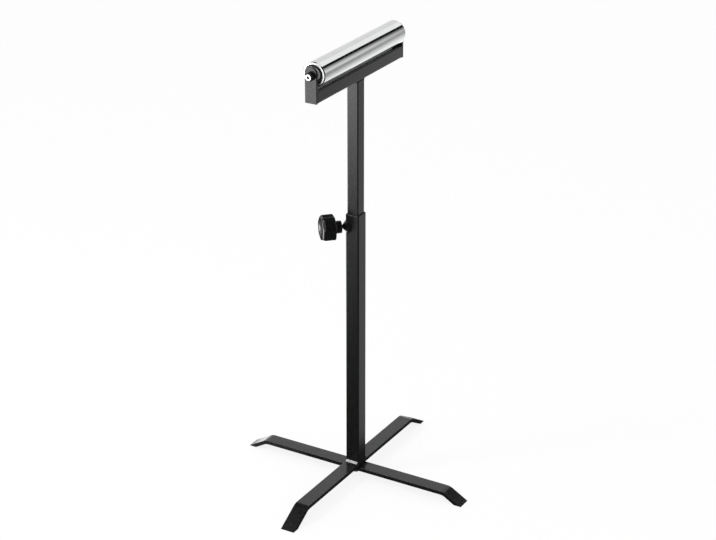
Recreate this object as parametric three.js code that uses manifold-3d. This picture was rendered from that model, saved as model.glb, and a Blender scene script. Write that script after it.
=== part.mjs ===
// Height-adjustable roller stand: crossed flat-bar legs, a telescoping square column held by a
// corner clamp, and a free-running steel roller on a head beam.
// Millimetres, +Z up. The origin is on the floor under the column. The roller's axis lies along Y.

import * as THREE from "three";
import { mergeVertices } from "three/addons/utils/BufferGeometryUtils.js";
import Module from "manifold-3d";

const wasm = await Module();
wasm.setup();

// Gap left between pieces that touch
const GAP = 0.3;

// Leg bars
const LEG_WIDTH = 30;
const LEG_THICKNESS = 8;
const LEG_BEND_REACH = 212.5; // from the column's axis to the bend
const LEG_BEND_RADIUS = 28; // outside of the bend
const LEG_UNDERSIDE = 15; // lower bar's underside above the floor
const FOOT_SLOPE = THREE.MathUtils.degToRad(30);

// Column
const OUTER_TUBE = 30;
const OUTER_CORNER = 3;
const OUTER_LENGTH = 548;
const INNER_TUBE = 25;
const INNER_CORNER = 2.5;
const INNER_LENGTH = 480;
const TUBE_WALL = 2;
const COLUMN_EXPOSED = 274; // inner tube showing above the outer tube

// Cross bolt that holds the legs, and the pin that keeps them square
const CROSS_BOLT_RADIUS = 5;
const CROSS_BOLT_FLATS = 16;
const CROSS_BOLT_HEAD = 6.4;
const CROSS_BOLT_TAIL = 3; // bolt standing past its nut
const CROSS_NUT_HEIGHT = 8;
const CROSS_WASHER_RADIUS = 10;
const CROSS_WASHER_THICKNESS = 2;
const PIN_RADIUS = 2.5;
const PIN_OFFSET = 9; // from the column's axis, along X and along Y

// Corner clamp. Stations are distances from the column's axis along the clamp's own axis.
const CLAMP_BELOW_RIM = 25.9;
const CLAMP_SCREW_RADIUS = 3;
const PAD_INNER_END = 10; // before the notch is cut
const PAD_OUTER_END = 21;
const BOSS_RADIUS = 12;
const BOSS_NOSE_RADIUS = 3.9;
const BOSS_ROOT = 8;
const BOSS_CONE = 19.5;
const BOSS_NOSE = 26.8;
const KNOB_HUB_RADIUS = 12.7;
const KNOB_HUB_START = 30;
const KNOB_BODY_START = 44;
const KNOB_FACE = 71;
const KNOB_DISH = 4; // depth of the hollow in the face
const KNOB_DISH_RADIUS = 17;
const KNOB_FLARE = 5; // hub widening where it meets the body
const KNOB_RADIUS = 27;
const KNOB_EDGE = 6.5; // rounding round the face
const KNOB_BACK_EDGE = 2; // bevel round the back of the body
const KNOB_LOBES = 7;
const KNOB_LOBE_DEPTH = 2.4;
const SCREW_END = 56; // inside the knob

// Head
const BEAM_SIZE = 25;
const BEAM_CORNER = 3;
const HEAD_LENGTH = 325; // over the lugs
const LUG_WIDTH = 25;
const LUG_THICKNESS = 5;
const LUG_ABOVE_AXLE = 17.8;
const AXLE_ABOVE_BEAM_BASE = 52.7;

// Axle and its hardware
const AXLE_RADIUS = 6;
const AXLE_PROUD = 0.5; // axle end standing past its collar
const CENTRE_HOLE_RADIUS = 2.2; // drilled in the axle's ends
const CENTRE_HOLE_DEPTH = 24;
const COLLAR_RADIUS = 8.5;
const COLLAR_LENGTH = 8;
const COLLAR_EDGE = 1.2;
const SPACER_RADIUS = 9;

// Roller and bearings
const ROLLER_RADIUS = 24;
const ROLLER_WALL = 4.5;
const ROLLER_LENGTH = 303;
const ROLLER_CHAMFER = 0.8;
const ROLLER_CROWN = 0.5; // how far each end face falls from the bore to its chamfer
const CAP_RECESS = 3;
const CAP_LIP = 2;
const CAP_LIP_RADIUS = 12.5;
const BEARING_RECESS = 1.6; // bearing face inside the cap's face
const BEARING_RADIUS = 16;
const BEARING_WIDTH = 10;
const BALL_RADIUS = 3;
const BALL_COUNT = 7;
const BALL_PITCH_RADIUS = 11;
const LAND_OFFSET = 2.1; // from the ball circle to the land of each ring
const CAGE_THICKNESS = 2;
const SEAL_THICKNESS = 1;

// Welds
const FOOT_WELD = 4;
const HEAD_WELD = 3;
const WELD_END = 1.5; // bare stretch at each end of a bead

// Facets
const ROUND_SIDES = 48;
const SMALL_SIDES = 24;
const HEX_SIDES = 6;
const CURVE_STEPS = 4;
const BALL_STEPS = 6;
const GROOVE_STEPS = 6;
const LOBE_STEPS = 8;
const EDGE_STEPS = 4;
const DISH_STEPS = 5;

// Levels and stations that follow from the sizes above
const LOWER_TOP = LEG_UNDERSIDE + LEG_THICKNESS;
const UPPER_UNDERSIDE = LOWER_TOP + GAP;
const UPPER_TOP = UPPER_UNDERSIDE + LEG_THICKNESS;
const OUTER_BASE = UPPER_TOP + GAP;
const OUTER_RIM = OUTER_BASE + OUTER_LENGTH;
const CLAMP_HEIGHT = OUTER_RIM - CLAMP_BELOW_RIM;
const BEAM_BASE = OUTER_RIM + COLUMN_EXPOSED;
const AXLE_HEIGHT = BEAM_BASE + AXLE_ABOVE_BEAM_BASE;
const LUG_OUTER = HEAD_LENGTH / 2;
const LUG_INNER = LUG_OUTER - LUG_THICKNESS;
const COLLAR_START = LUG_OUTER + GAP;
const COLLAR_FACE = COLLAR_START + COLLAR_LENGTH;
const CAP_FACE = ROLLER_LENGTH / 2 - CAP_RECESS;
const BEARING_FACE = CAP_FACE - BEARING_RECESS;
const BEARING_BACK = BEARING_FACE - BEARING_WIDTH;

const QUARTER_TURN = Math.PI / 2;
const HALF_TURN = Math.PI;
const FULL_TURN = 2 * Math.PI;
const CLAMP_DIRECTION = 1.5 * QUARTER_TURN; // turns +Y to the corner between -X and -Y

// Finishes. Each mesh gets a material of its own.
const FINISHES = {
  blackPaint: { color: 0x17181a, roughness: 0.35, metalness: 0.0 },
  brightSteel: { color: 0xd4d6d8, roughness: 0.16, metalness: 1.0 },
  zinc: { color: 0xc9ccce, roughness: 0.32, metalness: 1.0 },
  bearingSteel: { color: 0xa9adb1, roughness: 0.28, metalness: 1.0 },
  sealRubber: { color: 0xbcbcba, roughness: 0.75, metalness: 0.0 },
  knobPlastic: { color: 0x0e0f10, roughness: 0.4, metalness: 0.0 },
  capNylon: { color: 0x121314, roughness: 0.5, metalness: 0.0 },
  brass: { color: 0xb08d4a, roughness: 0.4, metalness: 1.0 },
};

function addMesh(group, name, geometry, finish) {
  const mesh = new THREE.Mesh(geometry, new THREE.MeshStandardMaterial(FINISHES[finish]));
  mesh.name = name;
  group.add(mesh);
}

// Cutting and joining

function toSolid(geometry) {
  const bare = geometry.clone();
  bare.deleteAttribute("normal");
  bare.deleteAttribute("uv");
  const merged = mergeVertices(bare);
  const mesh = new wasm.Mesh({
    numProp: 3,
    vertProperties: merged.attributes.position.array,
    triVerts: new Uint32Array(merged.index.array),
  });
  return new wasm.Manifold(mesh);
}

function toGeometry(solid) {
  const mesh = solid.getMesh();
  const geometry = new THREE.BufferGeometry();
  geometry.setAttribute("position", new THREE.BufferAttribute(mesh.vertProperties, mesh.numProp));
  geometry.setIndex(new THREE.BufferAttribute(mesh.triVerts, 1));
  geometry.computeVertexNormals();
  return geometry;
}

function cut(geometry, ...tools) {
  return toGeometry(tools.reduce((rest, tool) => rest.subtract(toSolid(tool)), toSolid(geometry)));
}

function join(geometry, ...others) {
  return toGeometry(others.reduce((sum, other) => sum.add(toSolid(other)), toSolid(geometry)));
}

function overlap(geometry, other) {
  return toGeometry(toSolid(geometry).intersect(toSolid(other)));
}

// Basic shapes

function roundedSquare(size, radius) {
  const centre = size / 2 - radius;
  const shape = new THREE.Shape();
  shape.absarc(centre, centre, radius, 0, QUARTER_TURN);
  shape.absarc(-centre, centre, radius, QUARTER_TURN, HALF_TURN);
  shape.absarc(-centre, -centre, radius, HALF_TURN, 3 * QUARTER_TURN);
  shape.absarc(centre, -centre, radius, 3 * QUARTER_TURN, FULL_TURN);
  shape.closePath();
  return shape;
}

// A flat shape pushed from z = 0 to the given height
function prism(shape, height) {
  return new THREE.ExtrudeGeometry(shape, {
    depth: height,
    bevelEnabled: false,
    curveSegments: CURVE_STEPS,
  });
}

function squareTube(size, corner, length) {
  const shape = roundedSquare(size, corner);
  shape.holes.push(roundedSquare(size - 2 * TUBE_WALL, corner - TUBE_WALL));
  return prism(shape, length);
}

// A body turned about Y from an outline of [radius, station] points. An outline that starts on
// the axis ends there too, and any other closes on itself.
function turned(points, sides) {
  const outline = points.map(([radius, station]) => new THREE.Vector2(radius, station));
  if (THREE.ShapeUtils.isClockWise(outline)) outline.reverse();
  if (outline[0].x > 0) outline.push(outline[0].clone());
  return new THREE.LatheGeometry(outline, sides);
}

function ring(innerRadius, outerRadius, start, end, sides) {
  const section = [
    [innerRadius, start],
    [outerRadius, start],
    [outerRadius, end],
    [innerRadius, end],
  ];
  return turned(section, sides);
}

// A round bar along Y between two stations
function roundBar(radius, start, end, sides = SMALL_SIDES) {
  const bar = new THREE.CylinderGeometry(radius, radius, end - start, sides);
  return bar.translate(0, (start + end) / 2, 0);
}

function hexBar(acrossFlats, start, end) {
  return roundBar(acrossFlats / Math.sqrt(3), start, end, HEX_SIDES);
}

function hexNut(acrossFlats, boltRadius, start, end) {
  return cut(hexBar(acrossFlats, start, end), roundBar(boltRadius + GAP, start - GAP, end + GAP));
}

// Stands up a shape that was made along Y
function upright(geometry) {
  return geometry.rotateX(QUARTER_TURN);
}

// Lays down along Y a shape that was made along Z
function layAlongY(geometry) {
  return geometry.rotateX(-QUARTER_TURN);
}

// Base

// Side view of a leg bar: level to each bend, then sloping to the floor, with feet cut level
function legOutline(underside) {
  const top = underside + LEG_THICKNESS;
  const bendCentre = LEG_BEND_REACH - LEG_BEND_RADIUS * Math.tan(FOOT_SLOPE / 2);
  const bendLevel = top - LEG_BEND_RADIUS;
  const insideRadius = LEG_BEND_RADIUS - LEG_THICKNESS;
  const toe = LEG_BEND_REACH + top / Math.tan(FOOT_SLOPE);
  const heel = toe - LEG_THICKNESS / Math.sin(FOOT_SLOPE);
  const bendEnd = QUARTER_TURN - FOOT_SLOPE;
  const shape = new THREE.Shape();
  shape.moveTo(heel, 0);
  shape.lineTo(toe, 0);
  shape.absarc(bendCentre, bendLevel, LEG_BEND_RADIUS, bendEnd, QUARTER_TURN);
  shape.absarc(-bendCentre, bendLevel, LEG_BEND_RADIUS, QUARTER_TURN, HALF_TURN - bendEnd);
  shape.lineTo(-toe, 0);
  shape.lineTo(-heel, 0);
  shape.absarc(-bendCentre, bendLevel, insideRadius, HALF_TURN - bendEnd, QUARTER_TURN, true);
  shape.absarc(bendCentre, bendLevel, insideRadius, QUARTER_TURN, bendEnd, true);
  shape.closePath();
  return shape;
}

function legBar(underside, heading) {
  const bar = prism(legOutline(underside), LEG_WIDTH).translate(0, 0, -LEG_WIDTH / 2);
  upright(bar).rotateZ(heading);
  const below = underside - GAP;
  const above = underside + LEG_THICKNESS + GAP;
  const boltHole = upright(roundBar(CROSS_BOLT_RADIUS + GAP, below, above));
  const pinHole = upright(roundBar(PIN_RADIUS + GAP, below, above));
  pinHole.translate(PIN_OFFSET, PIN_OFFSET, 0);
  return cut(bar, boltHole, pinHole);
}

function crossBolt() {
  const seat = LEG_UNDERSIDE - CROSS_WASHER_THICKNESS - 2 * GAP;
  const tip = OUTER_BASE + CROSS_NUT_HEIGHT + CROSS_BOLT_TAIL;
  const head = hexBar(CROSS_BOLT_FLATS, seat - CROSS_BOLT_HEAD, seat);
  const shank = roundBar(CROSS_BOLT_RADIUS, seat - GAP, tip);
  return upright(join(head, shank));
}

function crossWasher() {
  const top = LEG_UNDERSIDE - GAP;
  const bore = CROSS_BOLT_RADIUS + GAP;
  return upright(ring(bore, CROSS_WASHER_RADIUS, top - CROSS_WASHER_THICKNESS, top, SMALL_SIDES));
}

function buildBase() {
  const group = new THREE.Group();
  addMesh(group, "lower_leg_bar", legBar(LEG_UNDERSIDE, 0), "blackPaint");
  addMesh(group, "upper_leg_bar", legBar(UPPER_UNDERSIDE, QUARTER_TURN), "blackPaint");
  addMesh(group, "cross_bolt", crossBolt(), "zinc");
  addMesh(group, "cross_washer", crossWasher(), "zinc");
  const nut = hexNut(CROSS_BOLT_FLATS, CROSS_BOLT_RADIUS, OUTER_BASE, OUTER_BASE + CROSS_NUT_HEIGHT);
  addMesh(group, "cross_nut", upright(nut), "zinc");
  const pin = upright(roundBar(PIN_RADIUS, LEG_UNDERSIDE, UPPER_TOP));
  addMesh(group, "locating_pin", pin.translate(PIN_OFFSET, PIN_OFFSET, 0), "zinc");
  return group;
}

// Column

// A fillet bead along X on the -Y side of a wall, standing up from z = 0 with its root at the origin
function filletBead(leg, length) {
  const shape = new THREE.Shape();
  shape.moveTo(0, 0);
  shape.lineTo(0, leg);
  shape.quadraticCurveTo(-leg / 2, leg / 2, -leg, 0);
  shape.closePath();
  const bead = prism(shape, length).translate(0, 0, -length / 2);
  return upright(bead).rotateZ(QUARTER_TURN);
}

// Beads on the two faces of a square tube that look along -Y and +Y
function addBeads(group, name, tubeSize, bead, level) {
  for (const [end, heading] of [["near", 0], ["far", HALF_TURN]]) {
    const placed = bead.clone().translate(0, -tubeSize / 2 - GAP, level);
    addMesh(group, `${name}_${end}`, placed.rotateZ(heading), "blackPaint");
  }
}

function outerTube() {
  const tube = squareTube(OUTER_TUBE, OUTER_CORNER, OUTER_LENGTH).translate(0, 0, OUTER_BASE);
  const cornerHole = roundBar(CLAMP_SCREW_RADIUS + GAP, PAD_INNER_END, BOSS_NOSE);
  cornerHole.rotateZ(CLAMP_DIRECTION).translate(0, 0, CLAMP_HEIGHT);
  return cut(tube, cornerHole);
}

function buildColumn() {
  const group = new THREE.Group();
  addMesh(group, "outer_tube", outerTube(), "blackPaint");
  const footBead = filletBead(FOOT_WELD, OUTER_TUBE - 2 * WELD_END);
  addBeads(group, "foot_weld", OUTER_TUBE, footBead, OUTER_BASE);
  const innerBase = BEAM_BASE - GAP - INNER_LENGTH;
  const inner = squareTube(INNER_TUBE, INNER_CORNER, INNER_LENGTH).translate(0, 0, innerBase);
  addMesh(group, "inner_tube", inner, "blackPaint");
  const headBead = filletBead(HEAD_WELD, INNER_TUBE - 2 * WELD_END).rotateY(HALF_TURN);
  addBeads(group, "head_weld", INNER_TUBE, headBead, BEAM_BASE - GAP);
  return group;
}

// Clamp, built along Y and then turned to the tube's corner

// The space that a square tube takes up, seen from the clamp's own frame
function tubeEnvelope(size, corner) {
  const height = 4 * BOSS_RADIUS;
  const envelope = prism(roundedSquare(size + 2 * GAP, corner + GAP), height);
  return envelope.translate(0, 0, -height / 2).rotateZ(QUARTER_TURN / 2);
}

function clampBoss() {
  const bore = CLAMP_SCREW_RADIUS + GAP;
  const section = [
    [bore, BOSS_ROOT],
    [BOSS_RADIUS, BOSS_ROOT],
    [BOSS_RADIUS, BOSS_CONE],
    [BOSS_NOSE_RADIUS, BOSS_NOSE],
    [bore, BOSS_NOSE],
  ];
  return cut(turned(section, SMALL_SIDES), tubeEnvelope(OUTER_TUBE, OUTER_CORNER));
}

function clampPad() {
  const plug = roundBar(CLAMP_SCREW_RADIUS, PAD_INNER_END, PAD_OUTER_END);
  return cut(plug, tubeEnvelope(INNER_TUBE, INNER_CORNER));
}

// Face outline of the knob: a circle with shallow hollows, and one lobe pointing down
function lobedOutline(radius) {
  const steps = KNOB_LOBES * LOBE_STEPS;
  const points = [];
  for (let i = 0; i < steps; i++) {
    const angle = (i / steps) * FULL_TURN;
    const hollow = (KNOB_LOBE_DEPTH / 2) * (1 - Math.cos(KNOB_LOBES * (angle - QUARTER_TURN)));
    const reach = radius - hollow;
    points.push(new THREE.Vector2(reach * Math.cos(angle), reach * Math.sin(angle)));
  }
  return new THREE.Shape(points);
}

// A disc along Y with a bevelled back, a round rim and a hollow in its face
function dishedDisc() {
  const outline = [
    [0, KNOB_BODY_START],
    [KNOB_RADIUS - KNOB_BACK_EDGE, KNOB_BODY_START],
    [KNOB_RADIUS, KNOB_BODY_START + KNOB_BACK_EDGE],
  ];
  for (let i = 0; i <= EDGE_STEPS; i++) {
    const angle = (i / EDGE_STEPS) * QUARTER_TURN;
    const inset = KNOB_EDGE * (1 - Math.cos(angle));
    outline.push([KNOB_RADIUS - inset, KNOB_FACE - KNOB_EDGE * (1 - Math.sin(angle))]);
  }
  for (let i = DISH_STEPS; i >= 0; i--) {
    const share = i / DISH_STEPS;
    outline.push([share * KNOB_DISH_RADIUS, KNOB_FACE - KNOB_DISH * (1 - share ** 2)]);
  }
  return turned(outline, ROUND_SIDES);
}

function clampKnob() {
  const lobes = layAlongY(prism(lobedOutline(KNOB_RADIUS), KNOB_FACE - KNOB_BODY_START + 2 * GAP));
  lobes.translate(0, KNOB_BODY_START - GAP, 0);
  const hub = turned(
    [
      [0, KNOB_HUB_START],
      [KNOB_HUB_RADIUS, KNOB_HUB_START],
      [KNOB_HUB_RADIUS, KNOB_BODY_START - KNOB_FLARE],
      [KNOB_HUB_RADIUS + KNOB_FLARE, KNOB_BODY_START + GAP],
      [0, KNOB_BODY_START + GAP],
    ],
    ROUND_SIDES,
  );
  const screwHole = roundBar(CLAMP_SCREW_RADIUS + GAP, KNOB_HUB_START - GAP, SCREW_END + GAP);
  return cut(join(overlap(lobes, dishedDisc()), hub), screwHole);
}

function buildClamp() {
  const group = new THREE.Group();
  group.position.z = CLAMP_HEIGHT;
  group.rotation.z = CLAMP_DIRECTION;
  addMesh(group, "clamp_boss", clampBoss(), "blackPaint");
  addMesh(group, "clamp_pad", clampPad(), "brass");
  const screw = roundBar(CLAMP_SCREW_RADIUS, PAD_OUTER_END + GAP, SCREW_END);
  addMesh(group, "clamp_screw", screw, "zinc");
  addMesh(group, "clamp_knob", clampKnob(), "knobPlastic");
  return group;
}

// Head

function lug() {
  const roundCentre = AXLE_ABOVE_BEAM_BASE + LUG_ABOVE_AXLE - LUG_WIDTH / 2;
  const shape = new THREE.Shape();
  shape.moveTo(-LUG_WIDTH / 2, 0);
  shape.lineTo(LUG_WIDTH / 2, 0);
  shape.absarc(0, roundCentre, LUG_WIDTH / 2, 0, HALF_TURN);
  shape.closePath();
  const plate = new THREE.ExtrudeGeometry(shape, {
    depth: LUG_THICKNESS,
    bevelEnabled: false,
    curveSegments: SMALL_SIDES,
  });
  upright(plate).translate(0, LUG_OUTER, -AXLE_ABOVE_BEAM_BASE);
  return cut(plate, roundBar(AXLE_RADIUS + GAP, LUG_INNER - GAP, LUG_OUTER + GAP));
}

function axle() {
  const tip = COLLAR_FACE + AXLE_PROUD;
  const outline = [
    [0, CENTRE_HOLE_DEPTH - tip],
    [CENTRE_HOLE_RADIUS, CENTRE_HOLE_DEPTH - tip],
    [CENTRE_HOLE_RADIUS, -tip],
    [AXLE_RADIUS, -tip],
    [AXLE_RADIUS, tip],
    [CENTRE_HOLE_RADIUS, tip],
    [CENTRE_HOLE_RADIUS, tip - CENTRE_HOLE_DEPTH],
    [0, tip - CENTRE_HOLE_DEPTH],
  ];
  return turned(outline, SMALL_SIDES);
}

// The collar that holds an axle end outside its lug
function axleCollar() {
  const section = [
    [AXLE_RADIUS + GAP, COLLAR_START],
    [COLLAR_RADIUS, COLLAR_START],
    [COLLAR_RADIUS, COLLAR_FACE - COLLAR_EDGE],
    [COLLAR_RADIUS - COLLAR_EDGE, COLLAR_FACE],
    [AXLE_RADIUS + GAP, COLLAR_FACE],
  ];
  return turned(section, SMALL_SIDES);
}

function rollerTube() {
  const end = ROLLER_LENGTH / 2;
  const bore = ROLLER_RADIUS - ROLLER_WALL;
  const shoulder = end - ROLLER_CROWN;
  const section = [
    [bore, -end],
    [ROLLER_RADIUS - ROLLER_CHAMFER, -shoulder],
    [ROLLER_RADIUS, ROLLER_CHAMFER - shoulder],
    [ROLLER_RADIUS, shoulder - ROLLER_CHAMFER],
    [ROLLER_RADIUS - ROLLER_CHAMFER, shoulder],
    [bore, end],
  ];
  return turned(section, ROUND_SIDES);
}

// The seat that carries a bearing in the roller's end, with a lip behind the bearing
function endCap() {
  const outside = ROLLER_RADIUS - ROLLER_WALL - GAP;
  const seat = BEARING_RADIUS + GAP;
  const lipFront = BEARING_BACK - GAP;
  const lipBack = lipFront - CAP_LIP;
  const section = [
    [seat, CAP_FACE],
    [outside, CAP_FACE],
    [outside, lipBack],
    [CAP_LIP_RADIUS, lipBack],
    [CAP_LIP_RADIUS, lipFront],
    [seat, lipFront],
  ];
  return turned(section, ROUND_SIDES);
}

// A bearing ring with its plain side at the given radius and a ball groove in the other side.
// The side is 1 for the ring outside the balls and -1 for the one inside them.
function bearingRing(plainRadius, side) {
  const middle = (BEARING_BACK + BEARING_FACE) / 2;
  const grooveRadius = BALL_RADIUS + GAP;
  const reach = Math.acos(LAND_OFFSET / grooveRadius);
  const land = BALL_PITCH_RADIUS + side * LAND_OFFSET;
  const section = [
    [plainRadius, BEARING_FACE],
    [plainRadius, BEARING_BACK],
    [land, BEARING_BACK],
  ];
  for (let i = 0; i <= GROOVE_STEPS; i++) {
    const angle = reach * ((2 * i) / GROOVE_STEPS - 1);
    const radius = BALL_PITCH_RADIUS + side * grooveRadius * Math.cos(angle);
    section.push([radius, middle + grooveRadius * Math.sin(angle)]);
  }
  section.push([land, BEARING_FACE]);
  return turned(section, SMALL_SIDES);
}

function ballCage() {
  const middle = (BEARING_BACK + BEARING_FACE) / 2;
  const half = CAGE_THICKNESS / 2;
  const inside = BALL_PITCH_RADIUS - half;
  const outside = BALL_PITCH_RADIUS + half;
  const cage = ring(inside, outside, middle - half, middle + half, SMALL_SIDES);
  const balls = [];
  for (let i = 0; i < BALL_COUNT; i++) {
    const ball = new THREE.SphereGeometry(BALL_RADIUS, BALL_STEPS, BALL_STEPS);
    balls.push(ball.translate(BALL_PITCH_RADIUS, middle, 0).rotateY((i / BALL_COUNT) * FULL_TURN));
  }
  return join(cage, ...balls);
}

// The seal that is pressed into the cap in front of a bearing
function bearingSeal() {
  const back = BEARING_FACE + GAP;
  return ring(SPACER_RADIUS + GAP, BEARING_RADIUS, back, back + SEAL_THICKNESS, SMALL_SIDES);
}

// Everything at one end of the roller, drawn at the +Y end
function buildRollerEnd(end, heading) {
  const group = new THREE.Group();
  group.rotation.z = heading;
  addMesh(group, `${end}_lug`, lug(), "blackPaint");
  addMesh(group, `${end}_axle_collar`, axleCollar(), "blackPaint");
  const sleeveBore = AXLE_RADIUS + GAP;
  const spacer = ring(sleeveBore, SPACER_RADIUS, BEARING_FACE + GAP, LUG_INNER - GAP, SMALL_SIDES);
  addMesh(group, `${end}_spacer`, spacer, "zinc");
  addMesh(group, `${end}_end_cap`, endCap(), "capNylon");
  addMesh(group, `${end}_bearing_outer_ring`, bearingRing(BEARING_RADIUS, 1), "bearingSteel");
  addMesh(group, `${end}_bearing_inner_ring`, bearingRing(sleeveBore, -1), "bearingSteel");
  addMesh(group, `${end}_ball_cage`, ballCage(), "bearingSteel");
  addMesh(group, `${end}_bearing_seal`, bearingSeal(), "sealRubber");
  return group;
}

function buildHead() {
  const group = new THREE.Group();
  group.position.z = AXLE_HEIGHT;
  const beamLength = 2 * (LUG_INNER - GAP);
  const beam = layAlongY(squareTube(BEAM_SIZE, BEAM_CORNER, beamLength));
  beam.translate(0, -beamLength / 2, BEAM_SIZE / 2 - AXLE_ABOVE_BEAM_BASE);
  addMesh(group, "head_beam", beam, "blackPaint");
  addMesh(group, "axle", axle(), "zinc");
  addMesh(group, "roller_tube", rollerTube(), "brightSteel");
  group.add(buildRollerEnd("far", 0));
  group.add(buildRollerEnd("near", HALF_TURN));
  return group;
}

const stand = new THREE.Group();
stand.add(buildBase(), buildColumn(), buildClamp(), buildHead());

export default stand;
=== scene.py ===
"""Roller stand: the finished pieces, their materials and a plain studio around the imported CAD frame.

Metres, +Z up. The origin is on the floor under the column and the roller's axis lies along Y.
Turned pieces are drawn along Y, at stations from the origin, and then set in their place.
"""

import math

import bmesh
import bpy
from bpy.props import FloatProperty, FloatVectorProperty, IntProperty, PointerProperty
from bpy.types import NodeSocket, Operator, Panel, PropertyGroup
from mathutils import Matrix, Vector


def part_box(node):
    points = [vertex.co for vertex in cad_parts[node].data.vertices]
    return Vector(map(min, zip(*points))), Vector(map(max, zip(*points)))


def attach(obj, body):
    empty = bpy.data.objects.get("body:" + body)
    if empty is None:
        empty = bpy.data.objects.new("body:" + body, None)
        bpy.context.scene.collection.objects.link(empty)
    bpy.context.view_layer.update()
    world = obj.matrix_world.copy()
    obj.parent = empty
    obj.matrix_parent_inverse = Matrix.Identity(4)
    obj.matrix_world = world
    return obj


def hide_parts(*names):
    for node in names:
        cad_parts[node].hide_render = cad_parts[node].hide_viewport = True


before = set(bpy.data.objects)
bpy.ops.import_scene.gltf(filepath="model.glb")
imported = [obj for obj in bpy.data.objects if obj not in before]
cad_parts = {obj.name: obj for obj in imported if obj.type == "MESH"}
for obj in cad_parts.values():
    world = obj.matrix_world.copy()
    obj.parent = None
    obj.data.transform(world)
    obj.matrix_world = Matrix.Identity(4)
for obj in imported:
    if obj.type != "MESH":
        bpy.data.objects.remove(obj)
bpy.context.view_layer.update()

bl_info = {
    "name": "Roller Stand",
    "version": (1, 0, 0),
    "blender": (4, 5, 0),
    "location": "View3D > Sidebar > Stand",
    "description": "Builds the finished pieces of a roller stand around its CAD frame",
    "category": "Object",
}

MM = 0.001
GAP = 0.3 * MM  # between pieces that touch, as in the frame
CLOSE = 0.01 * MM  # points nearer than this are one point
FULL_TURN = 2 * math.pi

RIGHT, BACK, UP = Vector((1, 0, 0)), Vector((0, 1, 0)), Vector((0, 0, 1))
CLAMP_AXIS = Vector((-1, -1, 0)).normalized()

ROUND_SIDES = 128
SMALL_SIDES = 64
EDGE_STEPS = 3  # faces across a rounded edge
SMOOTH = 40  # degrees between faces that are still shaded as one surface
NEARLY_SHARP = 9  # edges up to this much softer are rounded too, but not the 30 degree edges of the soles
PARALLEL = 0.9  # cosine above which two directions count as one
NOISE_BAND = (0.3, 0.7)  # values that a noise seldom leaves

# Light on the floor that shiny faces show: directions across its edges, and bands where the edges fade
POOL_HEADING = Vector((-0.5, -0.866, 0))  # from the stand towards the pool of light
POOL_REACH = (0.3, 2.5)  # along that heading, from dark to full light
POOL_RISE = 3.5  # power by which the light rises on the way
POOL_EDGE = Vector((0.791, -0.63, 0))  # across the pool's left edge
POOL_LEFT = (-0.15, 0.1)
POOL_RIGHT = (-0.12, 0.12)  # along X
FRONT_LEVELS = (0.04, 0.14)  # the dark floor near the stand and far in front
BACK_EDGE = (-0.12, 0.06)  # along Y, from dark in front to white behind
BACK_STEPS = (((-0.15, 0.0), 0.45), ((0.04, 0.09), 0.35))  # along X, where that edge steps back and forth
SWEEP_ASIDE = Vector((0.743, 0.669, 0))  # from the dark left of the floor to its white back
SWEEP_EDGE = (-0.31, -0.18)
BACK_ASIDE = Vector((0.863, -0.505, 0))  # across the middle of the floor behind
BACK_REACH, BACK_LEVELS = (-0.45, 0.2), (1.0, 0.35)
KNOB_FOOT = Vector((-0.09, -0.09, 0))  # floor point in front of the clamp knob
STRIP_NEAR = Vector((-0.66, 0.75, 0))  # across the near edge of the light strip at the left
STRIP_MIDDLE = Vector((0.15, -0.99, 0))  # across the line where the strip turns dim
STRIP_FAR = Vector((-0.217, -0.976, 0))  # across the far edge of the strip
STRIP_START = (-0.65, -0.5)  # along X, where the strip fades towards the knob
STRIP_DIM = 1.3
GLOW = 2.0  # extra light by the far-left foot
GLOW_LEFT, GLOW_RIGHT = (-0.7, -0.6), (-0.28, -0.25)  # along X
GLOW_FRONT = (-0.03, 0.02)  # along Y

WHITE = (1.0, 1.0, 1.0, 1.0)
FLOOR_WHITE = 0.85  # share of plain white in the floor that the camera sees
SCREEN_TOP = Vector((2.925, 3.0, 3.634))  # upper edge of the grey screen, where the black bar ends
SCREEN_FULL = 1.7  # height below which the screen has its full level
SCREEN_FALL = (5.3, 6.2)  # along Y, from its near to its far level
KEY_PLACE, KEY_AIM, KEY_SIZE = Vector((-1.28, -1.42, 2.22)), Vector((0, 0, 0.3)), 0.45


# Reading the frame


def span(node, direction):
    """Nearest and farthest station of a CAD node along a direction from the origin."""
    stations = [vertex.co.dot(direction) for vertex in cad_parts[node].data.vertices]
    return min(stations), max(stations)


def extent(node, direction):
    near, far = span(node, direction)
    return far - near


def middle(node, direction):
    return sum(span(node, direction)) / 2


UPRIGHT = Matrix.Rotation(math.pi / 2, 4, "X")  # turns +Y to +Z
HALF_ROUND = Matrix.Rotation(math.pi, 4, "Z")
TO_CLAMP = Matrix.Translation(UP * middle("clamp_screw", UP)) @ Matrix.Rotation(math.radians(135), 4, "Z")
TO_PIN = Matrix.Translation((middle("locating_pin", RIGHT), middle("locating_pin", BACK), 0)) @ UPRIGHT
TO_FAR_END = Matrix.Translation(UP * middle("roller_tube", UP))
TO_NEAR_END = TO_FAR_END @ HALF_ROUND


# Sizes, finishes and studio settings


def length(name, description, default):
    return FloatProperty(
        name=name, description=description, default=default, min=0.0, precision=5, unit="LENGTH"
    )


def angle(name, description, degrees):
    return FloatProperty(
        name=name, description=description, default=math.radians(degrees), subtype="ANGLE"
    )


def colour(name, description, default):
    return FloatVectorProperty(
        name=name, description=description, default=default, min=0.0, max=1.0, subtype="COLOR"
    )


def level(name, description, default):
    return FloatProperty(name=name, description=description, default=default, min=0.0)


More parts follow.
